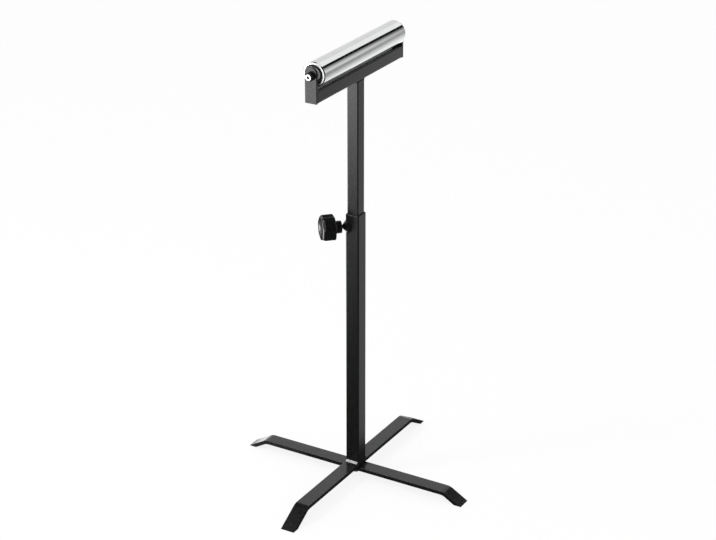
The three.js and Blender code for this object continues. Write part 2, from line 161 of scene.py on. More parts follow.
class StandSizes(PropertyGroup):
    """Sizes that the boxes of the CAD frame don't give"""

    leg_thickness: length("Leg thickness", "Thickness of the flat leg bars", 8 * MM)
    leg_bend: length("Leg bend", "Outside radius of the bend above each foot", 28 * MM)
    foot_slope: angle("Foot slope", "Slope of the feet to the floor", 30)
    leg_edge: length("Leg edge", "Rounding along the edges of the leg bars", 0.6 * MM)
    bolt_radius: length("Bolt radius", "Radius of the bolt through the leg bars", 5 * MM)
    tube_wall: length("Tube wall", "Wall of the square tubes", 2 * MM)
    outer_corner: length("Outer tube corner", "Corner radius of the outer tube", 3 * MM)
    inner_corner: length("Inner tube corner", "Corner radius of the inner tube", 2.5 * MM)
    beam_corner: length("Beam corner", "Corner radius of the head beam", 3 * MM)
    tube_edge: length("Tube edge", "Rounding of the cut tube ends", 0.7 * MM)
    weld_ripple: length("Weld ripple", "Distance from ripple to ripple in the welds", 1.9 * MM)
    lug_edge: length("Lug edge", "Rounding along the edges of the lugs", 0.7 * MM)
    cone_station: length("Boss cone", "Where the clamp boss starts to taper", 19.5 * MM)
    nose_radius: length("Boss nose", "Radius of the clamp boss at its tip", 3.9 * MM)
    boss_radius: length("Boss radius", "Radius of the clamp boss at the tube", 12 * MM)
    screw_pitch: length("Screw pitch", "Pitch of the clamp screw's thread", 1 * MM)
    hardware_edge: length("Hardware edge", "Rounding on nuts, washers and sleeves", 0.25 * MM)
    collar_edge: length("Collar edge", "Chamfer round the face of the axle collars", 1.2 * MM)
    centre_hole: length("Centre hole", "Radius of the holes drilled in the axle's ends", 2.7 * MM)
    centre_depth: length("Centre depth", "Depth of the holes drilled in the axle's ends", 24 * MM)
    roller_wall: length("Roller wall", "Wall of the roller tube", 4.5 * MM)
    roller_chamfer: length("Roller chamfer", "Chamfer round the roller's ends", 1.6 * MM)
    roller_crown: length("Roller crown", "Fall of the end faces from the bore to the chamfer", 0.5 * MM)
    bearing_radius: length("Bearing radius", "Outside radius of the bearings", 16 * MM)
    ball_radius: length("Ball radius", "Radius of the bearing balls", 3 * MM)
    ball_circle: length("Ball circle", "Radius of the circle that the balls run on", 11 * MM)
    ball_count: IntProperty(name="Balls", description="Balls in each bearing", default=7, min=3)


class KnobSizes(PropertyGroup):
    """Sizes of the clamp knob"""

    radius: length("Radius", "Radius over the lobes", 27 * MM)
    lobes: IntProperty(name="Lobes", description="Number of lobes round the grip", default=7, min=3)
    lobe_depth: length("Lobe depth", "Depth of the hollows between lobes", 1.5 * MM)
    body_start: length("Grip start", "Where the grip starts along the clamp's axis", 44 * MM)
    back_edge: length("Back edge", "Rounding round the back of the grip", 2 * MM)
    rim_edge: length("Rim edge", "Rounding round the face of the grip", 6.5 * MM)
    dish_depth: length("Dish depth", "Depth of the hollow in the face", 4 * MM)
    dish_radius: length("Dish radius", "Radius of the hollow in the face", 17 * MM)
    hub_radius: length("Hub radius", "Radius of the hub behind the grip", 12.7 * MM)
    hub_flare: length("Hub flare", "How far the hub widens at the grip", 5 * MM)


class StandFinishes(PropertyGroup):
    """Colours of the stand's finishes"""

    paint: colour("Paint", "Black paint on the steel frame", (0.0060, 0.0062, 0.0067))
    bare_edge: colour("Worn edge", "Paint rubbed thin along the edges", (0.045, 0.046, 0.048))
    dust: colour("Dust", "Dust on upward faces", (0.12, 0.118, 0.112))
    roller: colour("Roller", "Bright steel of the roller", (0.82, 0.825, 0.83))
    zinc: colour("Zinc", "Zinc plate of nuts and washers", (0.70, 0.715, 0.73))
    # Painted shade: near black inside the axle's drilled ends, where shade falls in the holes
    bore: colour("Bore", "Shade-painted inside of the axle's drilled ends", (0.012, 0.012, 0.012))
    bearing: colour("Bearing", "Ground steel of the bearings", (0.50, 0.51, 0.52))
    rubber: colour("Rubber", "Bearing seals", (0.50, 0.50, 0.49))
    plastic: colour("Plastic", "Moulded clamp knob", (0.0050, 0.0052, 0.0055))
    # This colour is also painted on the seals' rims as shade
    nylon: colour("Nylon", "Bearing seats in the roller", (0.010, 0.010, 0.0105))
    brass: colour("Brass", "Clamp pad", (0.56, 0.40, 0.16))


class StandStudio(PropertyGroup):
    """Camera, lamp and backdrop"""

    target: FloatVectorProperty(
        name="Target",
        description="Point at the middle of the picture",
        default=(0.0038, 0.0022, 0.45796),
        subtype="TRANSLATION",
        unit="LENGTH",
    )
    distance: length("Distance", "From the camera to the target", 3.97407)
    azimuth: angle("Azimuth", "Camera's heading round the stand", 30.344)
    pitch: angle("Pitch", "How far the camera looks down", 24.109)
    lens: FloatProperty(
        name="Lens", description="Focal length in mm", default=101.27, subtype="DISTANCE_CAMERA"
    )
    ambient: level("Ambient", "World light on the stand", 0.9)
    key_power: FloatProperty(
        name="Key", description="Power of the key lamp", default=18.0, min=0.0, unit="POWER"
    )
    floor: colour("Floor", "Floor and backdrop", (0.95, 0.95, 0.95))
    screen_near: level("Screen", "Level of the grey screen", 0.74)
    screen_far: level("Screen's far end", "Level of the grey screen at its far end", 0.28)
    pool: level("Pool", "Brightest light on the floor in front", 4.0)
    strip: level("Strip", "Bright strip at the left, seen in the knob", 8.0)


# Modelling tools


def stop_editing():
    """Back to object mode with nothing selected, so that operators act on the next piece alone."""
    if bpy.context.mode != "OBJECT":
        bpy.ops.object.mode_set(mode="OBJECT")
    bpy.ops.object.select_all(action="DESELECT")


def choose(piece):
    stop_editing()
    piece.select_set(True)
    bpy.context.view_layer.objects.active = piece


def take_all(kind="VERT"):
    """Selects the whole shape that is being edited."""
    bpy.ops.mesh.select_mode(type=kind)
    bpy.ops.mesh.select_all(action="SELECT")


def edit(piece):
    choose(piece)
    bpy.ops.object.mode_set(mode="EDIT")
    take_all()


def settle(piece, place):
    """Moves a piece to its place and leaves its object at the origin."""
    choose(piece)
    piece.matrix_world = place
    bpy.ops.object.transform_apply(location=True, rotation=True, scale=True)
    return piece


def named(name):
    """Names the primitive that was just added and puts its place into its mesh."""
    piece = bpy.context.object
    piece.name = piece.data.name = name
    bpy.ops.object.transform_apply(location=True, rotation=True, scale=True)
    return piece


def pick(piece, kind, test):
    """Selects only the VERT, EDGE or FACE elements that pass a test."""
    bpy.ops.mesh.select_mode(type=kind)
    bpy.ops.mesh.select_all(action="DESELECT")
    shape = bmesh.from_edit_mesh(piece.data)
    elements = {"VERT": shape.verts, "EDGE": shape.edges, "FACE": shape.faces}[kind]
    chosen = [element for element in elements if test(element)]
    if not chosen:
        raise RuntimeError(f"{piece.name}: no {kind} to select")
    for element in chosen:
        element.select_set(True)
    bmesh.update_edit_mesh(piece.data)


def along(edge, direction):
    """Whether an edge runs along a direction."""
    first, second = edge.verts
    return abs((second.co - first.co).normalized().dot(direction)) > PARALLEL


def push(offset):
    """Extrudes what is selected along an offset."""
    bpy.ops.mesh.extrude_region_move(TRANSFORM_OT_translate={"value": offset})


def draw_in(share, station):
    """Scales what is selected towards the Y axis."""
    bpy.ops.transform.resize(value=(share, 1, share), center_override=BACK * station)


def slice_off(point, outward):
    """Cuts off what lies beyond a plane and closes the cut."""
    take_all()
    bpy.ops.mesh.bisect(plane_co=point, plane_no=outward, clear_outer=True, use_fill=True)


def tidy_surface():
    """Merges doubles and turns all faces outwards."""
    take_all()
    bpy.ops.mesh.remove_doubles(threshold=CLOSE)
    bpy.ops.mesh.normals_make_consistent(inside=False)


def modify(piece, kind, **settings):
    """Adds a modifier and applies it."""
    choose(piece)
    modifier = piece.modifiers.new(kind.title(), kind)
    for setting, value in settings.items():
        setattr(modifier, setting, value)
    bpy.ops.object.modifier_apply(modifier=modifier.name)


def carve(piece, tool, operation="DIFFERENCE"):
    """Cuts a piece with a tool body, or joins it, and removes the tool."""
    stop_editing()
    modify(piece, "BOOLEAN", object=tool, operation=operation, solver="EXACT")
    bpy.data.meshes.remove(tool.data)


def finish(piece, edge=0.0, smooth=SMOOTH):
    """Rounds the sharp edges and shades the piece smooth, with flat faces kept flat."""
    if edge:
        limit = math.radians(smooth - NEARLY_SHARP)
        modify(piece, "BEVEL", width=edge, segments=EDGE_STEPS, limit_method="ANGLE", angle_limit=limit)
    choose(piece)
    bpy.ops.object.shade_smooth_by_angle(angle=math.radians(smooth))
    modify(piece, "WEIGHTED_NORMAL", keep_sharp=True)


def copied(piece, name, place):
    """A copy with a mesh of its own, moved from where the piece is."""
    choose(piece)
    bpy.ops.object.duplicate()
    copy = bpy.context.object
    copy.name = copy.data.name = name
    return settle(copy, place)


def block(name, low, high):
    stop_editing()
    low, high = Vector(low), Vector(high)
    bpy.ops.mesh.primitive_cube_add(size=1.0, location=(low + high) / 2, scale=high - low)
    return named(name)


def rod(name, radius, start, end, sides=SMALL_SIDES):
    """A plain bar along Y, with a corner pointing up."""
    stop_editing()
    bpy.ops.mesh.primitive_cylinder_add(
        vertices=sides,
        radius=radius,
        depth=end - start,
        location=BACK * (start + end) / 2,
        rotation=(-math.pi / 2, 0, 0),
    )
    return named(name)


def wire(name, points):
    """A chain of edges, drawn by extruding one vertex. It is left in edit mode."""
    stop_editing()
    bpy.ops.mesh.primitive_plane_add(size=MM, location=points[0])
    piece = named(name)
    edit(piece)
    bpy.ops.mesh.merge(type="CENTER")
    for here, there in zip(points, points[1:]):
        push(there - here)
    return piece


def turned(name, outline, sides=SMALL_SIDES):
    """A body spun about Y from an outline of (radius, station) points.

    An outline that starts on the axis ends there too, and any other closes on itself.
    """
    points = [Vector((radius, station, 0)) for radius, station in outline]
    piece = wire(name, points)
    if outline[0][0] > 0:
        ends = (points[0], points[-1])
        pick(piece, "VERT", lambda v: any((v.co - end).length < CLOSE for end in ends))
        bpy.ops.mesh.edge_face_add()
    take_all()
    bpy.ops.mesh.spin(steps=sides, angle=FULL_TURN, center=(0, 0, 0), axis=BACK)
    tidy_surface()
    stop_editing()
    return piece


def both_ends(half):
    """The outline of a body that is the same at both ends, from the points of its far half."""
    return [(radius, -station) for radius, station in reversed(half)] + half


def ring(name, bore, radius, start, end):
    return turned(name, [(bore, start), (radius, start), (radius, end), (bore, end)])


def drill(piece, radius, start, end, place):
    """Drills a round hole and shades the piece again, so that its flat faces stay flat."""
    carve(piece, settle(rod("drill", radius, start, end), place))
    finish(piece)


def coat(piece, slot):
    piece.data.materials.clear()
    piece.data.materials.append(material_for(slot))


def dress(piece, body, slot, node):
    """Gives a finished piece its material and ties it to the frame."""
    coat(piece, slot)
    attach(piece, body)
    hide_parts(node)


def fit(piece, place, body, slot, node, edge=0.0, smooth=SMOOTH):
    """Sets a piece in its place, finishes it and ties it to the frame."""
    settle(piece, place)
    finish(piece, edge, smooth)
    dress(piece, body, slot, node)


def fit_pair(piece, kind, body, slot, node, edge=0.0):
    """Finishes a piece drawn at the far end, sets it in its place and copies it to the near end."""
    finish(piece, edge)
    settle(piece, TO_FAR_END)
    near = copied(piece, f"near_{kind}", HALF_ROUND)
    piece.name = piece.data.name = f"far_{kind}"
    dress(piece, body.format("far"), slot, f"far_{node}")
    dress(near, body.format("near"), slot, f"near_{node}")


# Material tools


def feed(tree, socket, value):
    """Links an input to another node's output, or sets it."""
    if isinstance(value, NodeSocket):
        tree.links.new(value, socket)
    else:
        socket.default_value = value


def put(tree, kind, inputs=None, **options):
    """Adds a node, sets its options and feeds its inputs."""
    node = tree.nodes.new(kind)
    for option, value in options.items():
        setattr(node, option, value)
    for socket, value in (inputs or {}).items():
        feed(tree, node.inputs[socket], value)
    return node


def opaque(rgb):
    return (*rgb, 1.0)


def shaded(rgb, share):
    """A colour made darker or paler."""
    return tuple(share * value for value in rgb)


def blend(tree, factor, first, second):
    """A colour between two others, each of them plain or another node's output."""
    node = put(tree, "ShaderNodeMix", data_type="RGBA")
    sockets = {socket.identifier: socket for socket in (*node.inputs, *node.outputs)}
    feed(tree, sockets["Factor_Float"], factor)
    for name, value in (("A_Color", first), ("B_Color", second)):
        feed(tree, sockets[name], value if isinstance(value, NodeSocket) else opaque(value))
    return sockets["Result_Color"]


def between(tree, factor, first, second):
    """A value between two others."""
    return put(tree, "ShaderNodeMix", {"Factor": factor, "A": first, "B": second}).outputs["Result"]


def ramp(tree, value, band, low=0.0, high=1.0):
    """Goes from low to high while a value goes through a band."""
    inputs = {"Value": value, "From Min": band[0], "From Max": band[1], "To Min": low, "To Max": high}
    return put(tree, "ShaderNodeMapRange", inputs).outputs["Result"]


def calculate(tree, operation, first, second=0.0):
    return put(tree, "ShaderNodeMath", {0: first, 1: second}, operation=operation).outputs[0]


def times(tree, first, second):
    return calculate(tree, "MULTIPLY", first, second)


def noise(tree, given, detail=3.0, roughness=0.55):
    """Noise on the coordinates and at the scale that a shared effect is given."""
    inputs = {"Vector": given["Vector"], "Scale": given["Scale"], "Detail": detail, "Roughness": roughness}
    return put(tree, "ShaderNodeTexNoise", inputs).outputs["Fac"]


def group_for(name, inputs, output, build):
    """A shared effect on a piece's coordinates, built once, with named values and one output."""
    if name in bpy.data.node_groups:
        return bpy.data.node_groups[name]
    tree = bpy.data.node_groups.new(name, "ShaderNodeTree")
    tree.interface.new_socket("Vector", in_out="INPUT", socket_type="NodeSocketVector")
    for socket in inputs:
        tree.interface.new_socket(socket, in_out="INPUT", socket_type="NodeSocketFloat")
    tree.interface.new_socket(output, in_out="OUTPUT", socket_type="NodeSocketFloat")
    given = tree.nodes.new("NodeGroupInput").outputs
    result = tree.nodes.new("NodeGroupOutput").inputs[0]
    tree.links.new(build(tree, given), result)
    return tree


def cloud_group():
    """Soft patches."""

    def build(tree, given):
        return ramp(tree, noise(tree, given), NOISE_BAND)

    return group_for("Cloudy patches", ("Scale",), "Mask", build)


def grain_group():
    """Fine even grain, as orange peel in paint or the texture of a mould."""

    def build(tree, given):
        return noise(tree, given, detail=2.0, roughness=0.5)

    return group_for("Fine grain", ("Scale",), "Height", build)


def wear_group():
    """Patchy wear along outside edges."""

    def build(tree, given):
        edge = ramp(tree, put(tree, "ShaderNodeNewGeometry").outputs["Pointiness"], (0.52, 0.62))
        patches = ramp(tree, noise(tree, given), (0.42, 0.66))
        return times(tree, times(tree, edge, patches), given["Amount"])

    return group_for("Edge wear", ("Scale", "Amount"), "Mask", build)


def dust_group():
    """Dust that has settled on faces looking up."""

    def build(tree, given):
        normal = put(tree, "ShaderNodeNewGeometry").outputs["Normal"]
        height = put(tree, "ShaderNodeSeparateXYZ", {"Vector": normal}).outputs["Z"]
        patches = ramp(tree, noise(tree, given, detail=5.0, roughness=0.65), (0.4, 0.7))
        return times(tree, times(tree, ramp(tree, height, (0.6, 1.0)), patches), given["Amount"])

    return group_for("Settled dust", ("Scale", "Amount"), "Mask", build)


def lathe_group():
    """Fine rings round Y, as turning or grinding leaves them."""

    def build(tree, given):
        stretched = put(tree, "ShaderNodeMapping", {"Vector": given["Vector"], "Scale": (0.02, 1.0, 0.02)})
        along_axis = {"Vector": stretched.outputs["Vector"], "Scale": given["Scale"]}
        return noise(tree, along_axis, roughness=0.6)

    return group_for("Lathe rings", ("Scale",), "Value", build)


def effect(tree, group, place, **values):
    """Places a shared effect in a material and gives its output."""
    inputs = {"Vector": place, **{name.title(): value for name, value in values.items()}}
    return put(tree, "ShaderNodeGroup", inputs, node_tree=group).outputs[0]


def relief(tree, height, strength, depth):
    inputs = {"Height": height, "Strength": strength, "Distance": depth}
    return put(tree, "ShaderNodeBump", inputs).outputs["Normal"]


def axle_radius(tree, place):
    """Distance of a point from the roller's axis."""
    flat = put(tree, "ShaderNodeVectorMath", {0: place, 1: (1, 0, 1)}, operation="MULTIPLY")
    ends = {0: flat.outputs["Vector"], 1: UP * middle("axle", UP)}
    return put(tree, "ShaderNodeVectorMath", ends, operation="DISTANCE").outputs["Value"]


# Finishes: each gives what its shader's sockets are fed with


def black_paint(tree, place, finishes):
    """Black paint with orange peel, a little dust and thin edges."""
    dust = effect(tree, dust_group(), place, scale=70.0, amount=0.06)
    wear = effect(tree, wear_group(), place, scale=110.0, amount=0.3)
    clouds = effect(tree, cloud_group(), place, scale=190.0)
    peel = effect(tree, grain_group(), place, scale=650.0)
    dusty = blend(tree, dust, finishes.paint, finishes.dust)
    return {
        "Base Color": blend(tree, wear, dusty, finishes.bare_edge),
        "Roughness": between(tree, clouds, 0.20, 0.27),
        "Normal": relief(tree, peel, strength=0.06, depth=0.2 * MM),
    }


def bright_steel(tree, place, finishes):
    """Polished steel with faint lathe rings, dull on the roller's sawn ends."""
    rings = effect(tree, lathe_group(), place, scale=1700.0)
    clouds = effect(tree, cloud_group(), place, scale=45.0)
    polish = calculate(tree, "ADD", ramp(tree, rings, NOISE_BAND, 0.06, 0.09), times(tree, clouds, 0.02))
    station = put(tree, "ShaderNodeSeparateXYZ", {"Vector": place}).outputs["Y"]
    shoulder = span("roller_tube", BACK)[1] - bpy.context.scene.stand_sizes.roller_crown
    sawn = ramp(tree, calculate(tree, "ABSOLUTE", station), (shoulder - 0.2 * MM, shoulder))
    return {
        "Base Color": blend(tree, clouds, shaded(finishes.roller, 0.93), finishes.roller),
        "Metallic": 1.0,
        "Roughness": between(tree, sawn, polish, 0.5),
        "Normal": relief(tree, rings, strength=0.02, depth=0.05 * MM),
    }


def zinc(tree, place, finishes):
    """Zinc plate, with painted shade: near black inside the axle's drilled ends."""
    clouds = effect(tree, cloud_group(), place, scale=240.0)
    grain = effect(tree, grain_group(), place, scale=2500.0)
    red, green, blue = finishes.zinc
    plate = blend(tree, clouds, (red, 0.97 * green, 0.90 * blue), finishes.zinc)
    hole = bpy.context.scene.stand_sizes.centre_hole
    # Painted shade: the colour turns near black within the centre hole's radius, for the shade in the
    # axle's drilled ends
    clear_of_hole_shade = ramp(tree, axle_radius(tree, place), (hole + 0.05 * MM, hole + 0.2 * MM))
    return {
        "Base Color": blend(tree, clear_of_hole_shade, finishes.bore, plate),
        "Metallic": 1.0,
        "Roughness": between(tree, clouds, 0.24, 0.36),
        "Normal": relief(tree, grain, strength=0.08, depth=0.05 * MM),
    }


def bearing_steel(tree, place, finishes):
    """Ground steel with fine rings."""
    rings = effect(tree, lathe_group(), place, scale=2600.0)
    clouds = effect(tree, cloud_group(), place, scale=180.0)
    return {
        "Base Color": blend(tree, clouds, shaded(finishes.bearing, 0.8), finishes.bearing),
        "Metallic": 1.0,
        "Roughness": ramp(tree, rings, NOISE_BAND, 0.18, 0.32),
        "Normal": relief(tree, rings, strength=0.05, depth=0.03 * MM),
    }


def seal_rubber(tree, place, finishes):
    """Matt grey seals, with painted shade: a black band round their rim."""
    clouds = effect(tree, cloud_group(), place, scale=300.0)
    grain = effect(tree, grain_group(), place, scale=3000.0)
    face = blend(tree, clouds, finishes.rubber, shaded(finishes.rubber, 1.12))
    # Painted shade: the seal turns to the black nylon colour towards its rim, for the shade in the roller's
    # recess
    painted_shade_start = extent("far_bearing_seal", UP) / 2 - 4.6 * MM
    rim = ramp(tree, axle_radius(tree, place), (painted_shade_start, painted_shade_start + 0.4 * MM))
    return {
        "Base Color": blend(tree, rim, face, finishes.nylon),
        "Roughness": between(tree, clouds, 0.6, 0.78),
        "Normal": relief(tree, grain, strength=0.15, depth=0.05 * MM),
    }


def moulded(tree, place, tint, scale, smooth, rough):
    """Black moulded plastic with the fine texture of its mould and pale scuffs on its edges."""
    clouds = effect(tree, cloud_group(), place, scale=scale)
    grain = effect(tree, grain_group(), place, scale=2200.0)
    scuff = effect(tree, wear_group(), place, scale=160.0, amount=0.15)
    body = blend(tree, clouds, tint, shaded(tint, 1.35))
    return {
        "Base Color": blend(tree, scuff, body, shaded(tint, 3.0)),
        "Roughness": between(tree, clouds, smooth, rough),
        "Normal": relief(tree, grain, strength=0.04, depth=0.06 * MM),
    }


def knob_plastic(tree, place, finishes):
    return moulded(tree, place, finishes.plastic, scale=120.0, smooth=0.16, rough=0.20)


def cap_nylon(tree, place, finishes):
    return moulded(tree, place, finishes.nylon, scale=150.0, smooth=0.78, rough=0.9)


def brass(tree, place, finishes):
    """Turned brass, duller where it is tarnished."""
    rings = effect(tree, lathe_group(), place, scale=1900.0)
    clouds = effect(tree, cloud_group(), place, scale=200.0)
    return {
        "Base Color": blend(tree, clouds, shaded(finishes.brass, 0.55), finishes.brass),
        "Metallic": 1.0,
        "Roughness": between(tree, clouds, 0.42, 0.26),
        "Normal": relief(tree, rings, strength=0.06, depth=0.04 * MM),
    }


FINISHES = {
    "black_paint": ("Black paint", black_paint),
    "bright_steel": ("Bright steel", bright_steel),
    "zinc": ("Zinc plate", zinc),
    "bearing_steel": ("Ground bearing steel", bearing_steel),
    "seal_rubber": ("Seal rubber", seal_rubber),
    "knob_plastic": ("Knob plastic", knob_plastic),
    "cap_nylon": ("Black nylon", cap_nylon),
    "brass": ("Turned brass", brass),
}
made_materials = {}


def material_for(slot):
    """The material of one of the record's slots, built once."""
    if slot not in made_materials:
        name, surface = FINISHES[slot]
        material = bpy.data.materials.new(name)
        material.use_nodes = True
        tree = material.node_tree
        place = put(tree, "ShaderNodeTexCoord").outputs["Object"]
        shader = tree.nodes["Principled BSDF"]
        for socket, value in surface(tree, place, bpy.context.scene.stand_finishes).items():
            feed(tree, shader.inputs[socket], value)
        made_materials[slot] = material
    return made_materials[slot]


# Base


def bent_bar(name, toe, top, width, sizes):
    """A flat bar along X with its feet bent down and cut level with the floor."""
    slope = sizes.foot_slope
    bend = toe - top / math.tan(slope) - sizes.leg_bend * math.tan(slope / 2)
    bar = block(name, (0, -width / 2, top - sizes.leg_thickness), (bend, width / 2, top))
    edit(bar)
    pick(bar, "FACE", lambda f: f.normal.x < -PARALLEL)
    bpy.ops.mesh.delete(type="FACE")
    pick(bar, "FACE", lambda f: f.normal.x > PARALLEL)
    centre = Vector((bend, 0, top - sizes.leg_bend))
    bpy.ops.mesh.spin(steps=10, angle=-slope, center=centre, axis=BACK)
    past_floor = 2 * (toe - bend)
    push(Vector((math.cos(slope), 0, -math.sin(slope))) * past_floor)
    slice_off((0, 0, 0), -UP)
    stop_editing()
    modify(bar, "MIRROR", use_axis=(True, False, False), merge_threshold=CLOSE)
    return bar


class STAND_OT_legs(Operator):
    """Build the two crossed leg bars with their bent feet"""

    bl_idname = "roller_stand.legs"
    bl_label = "Leg bars"

    def execute(self, context):
        sizes = context.scene.stand_sizes
        deep = extent("cross_bolt", UP)
        pin_hole = extent("locating_pin", RIGHT) / 2 + GAP
        bars = (("lower_leg", "lower_leg_bar", RIGHT, BACK), ("upper_leg", "upper_leg_bar", BACK, RIGHT))
        for name, node, run, across in bars:
            bar = bent_bar(name, span(node, run)[1], span(node, UP)[1], extent(node, across), sizes)
            settle(bar, Matrix.Rotation(run.angle(RIGHT), 4, "Z"))
            finish(bar, sizes.leg_edge)
            drill(bar, sizes.bolt_radius + GAP, 0, deep, UPRIGHT)
            drill(bar, pin_hole, 0, deep, TO_PIN)
            dress(bar, "base", "black_paint", node)
        return {"FINISHED"}


def hex_chamfered(name, flats, start, end, edge):
    """A hexagon bar whose corners are turned off at both ends."""
    corner = flats / math.sqrt(3)
    face = 0.97 * flats / 2  # the turned end faces are a little narrower than the flats
    rise = (corner - face) * math.tan(math.radians(30))  # the usual slope of such a chamfer
    hexagon = rod(name, corner, start, end, 6)
    cone = [(0, start), (face, start), (corner + edge, start + rise + edge)]
    cone += [(corner + edge, end - rise - edge), (face, end), (0, end)]
    carve(hexagon, turned("chamfer", cone), "INTERSECT")
    return hexagon


def bored(name, flats, bore, start, end, edge):
    """A chamfered hexagon nut with countersunk mouths."""
    nut = hex_chamfered(name, flats, start, end, edge)
    sink = 0.7 * MM
    mouth = [(0, start - sink), (bore + 2 * sink, start - sink), (bore, start + sink)]
    mouth += [(bore, end - sink), (bore + 2 * sink, end + sink), (0, end + sink)]
    carve(nut, turned("bore", mouth))
    return nut


class STAND_OT_cross_joint(Operator):
    """Build the bolt, washer, nut and pin that hold the legs together"""

    bl_idname = "roller_stand.cross_joint"
    bl_label = "Cross joint"

    def execute(self, context):
        sizes = context.scene.stand_sizes
        edge, radius, chamfer = sizes.hardware_edge, sizes.bolt_radius, 1 * MM
        flats = extent("cross_nut", RIGHT)
        low, tip = span("cross_bolt", UP)
        washer_low, washer_top = span("cross_washer", UP)
        seat = washer_low - GAP
        bolt = hex_chamfered("leg_bolt", flats, low, seat, edge)
        shank = [(0, seat - GAP), (radius, seat - GAP), (radius, tip - chamfer)]
        shank += [(radius - chamfer, tip), (0, tip)]
        carve(bolt, turned("shank", shank), "UNION")
        fit(bolt, UPRIGHT, "base", "zinc", "cross_bolt", edge)
        washer = ring("leg_washer", radius + GAP, extent("cross_washer", RIGHT) / 2, washer_low, washer_top)
        fit(washer, UPRIGHT, "base", "zinc", "cross_washer", edge)
        nut = bored("leg_nut", flats, radius + GAP, *span("cross_nut", UP), edge)
        fit(nut, UPRIGHT, "base", "zinc", "cross_nut", edge)
        pin = rod("leg_pin", extent("locating_pin", RIGHT) / 2, *span("locating_pin", UP))
        fit(pin, TO_PIN, "base", "zinc", "locating_pin", edge)
        return {"FINISHED"}


# Column


def square_bar(name, low, high, axis, corner):
    """A square bar along one axis with rounded corners, closed at its ends."""
    bar = block(name, low, high)
    edit(bar)
    pick(bar, "EDGE", lambda e: along(e, axis))
    bpy.ops.mesh.bevel(offset=corner, segments=8, affect="EDGES")
    stop_editing()
    return bar


def square_tube(name, node, axis, corner, sizes):
    """A finished square tube in a CAD node's box, with rounded corners and an even wall."""
    tube = square_bar(name, *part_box(node), axis, corner)
    edit(tube)
    pick(tube, "FACE", lambda f: abs(f.normal.dot(axis)) > PARALLEL)
    bpy.ops.mesh.delete(type="FACE")
    stop_editing()
    modify(tube, "SOLIDIFY", thickness=sizes.tube_wall, offset=-1.0, use_even_offset=True)
    finish(tube, sizes.tube_edge)
    return tube


class STAND_OT_tubes(Operator):
    """Build the two square tubes of the column"""

    bl_idname = "roller_stand.tubes"
    bl_label = "Column tubes"

    def execute(self, context):
        sizes = context.scene.stand_sizes
        outer = square_tube("column_outer", "outer_tube", UP, sizes.outer_corner, sizes)
        hole = extent("clamp_screw", UP) / 2 + GAP
        drill(outer, hole, span("clamp_pad", CLAMP_AXIS)[0], span("clamp_boss", CLAMP_AXIS)[1], TO_CLAMP)
        dress(outer, "base", "black_paint", "outer_tube")
        inner = square_tube("column_inner", "inner_tube", UP, sizes.inner_corner, sizes)
        dress(inner, "column", "black_paint", "inner_tube")
        return {"FINISHED"}


def weld_bead(name, node, ripple):
    """A rippled fillet bead of a CAD node's size, with its root along X at the origin."""
    size, run = extent(node, UP), extent(node, RIGHT)
    bead = block(name, (-run / 2, -size, 0), (run / 2, 0, size))
    edit(bead)
    slice_off((0, -size, 0), Vector((0, -1, 1)))
    stop_editing()
    count = round((run - size) / ripple) + 1
    out = 0.46 * size  # from the root to the middle of a ripple, along each leg
    bpy.ops.mesh.primitive_uv_sphere_add(
        segments=24,
        ring_count=16,
        radius=1.0,
        location=(-(count - 1) * ripple / 2, -out, out),
        rotation=(math.radians(45), 0, 0),
        scale=(0.95 * ripple, 0.62 * size, 0.05 * size),  # half of its run, width and height
    )
    ripples = named("ripples")
    offset = {"use_relative_offset": False, "use_constant_offset": True}
    modify(ripples, "ARRAY", count=count, constant_offset_displace=(ripple, 0, 0), **offset)
    choose(bead)
    ripples.select_set(True)
    bpy.ops.object.join()
    modify(bead, "REMESH", mode="VOXEL", voxel_size=0.22 * MM)
    modify(bead, "SMOOTH", factor=0.5, iterations=3)
    return bead


class STAND_OT_welds(Operator):
    """Build the weld beads at the column's foot and under the head"""

    bl_idname = "roller_stand.welds"
    bl_label = "Weld beads"

    def execute(self, context):
        ripple = context.scene.stand_sizes.weld_ripple
        hung = Matrix.Rotation(math.pi, 4, "Y")
        for end, body, turn, root in (("foot", "base", Matrix(), 0), ("head", "column", hung, 1)):
            node = f"{end}_weld_near"
            bead = weld_bead(f"{end}_bead_near", node, ripple)
            back = Matrix.Translation(BACK * span(node, BACK)[1] + UP * span(node, UP)[root])
            settle(bead, back @ turn)
            finish(bead, smooth=80)
            far = copied(bead, f"{end}_bead_far", HALF_ROUND)
            dress(bead, body, "black_paint", node)
            dress(far, body, "black_paint", f"{end}_weld_far")
        return {"FINISHED"}


# Clamp


def threaded_rod(name, radius, pitch, start, end):
    """A screw along Y with a V thread, cut flat at both ends."""
    root = radius - 0.6 * pitch
    profile = [(root, 0.0), (radius, 0.42), (radius, 0.58), (root, 1.0)]  # radius at shares of a pitch
    early = start - 1.5 * pitch  # the thread runs past both ends, which are then cut flat
    screw = wire(name, [Vector((r, early + share * pitch, 0)) for r, share in profile])
    stop_editing()
    turns = math.ceil((end - start) / pitch) + 3
    steps = {"steps": 40, "render_steps": 40}
    modify(screw, "SCREW", axis="Y", angle=FULL_TURN, screw_offset=pitch, iterations=turns, **steps)
    edit(screw)
    tidy_surface()
    slice_off(BACK * start, -BACK)
    slice_off(BACK * end, BACK)
    tidy_surface()
    stop_editing()
    return screw


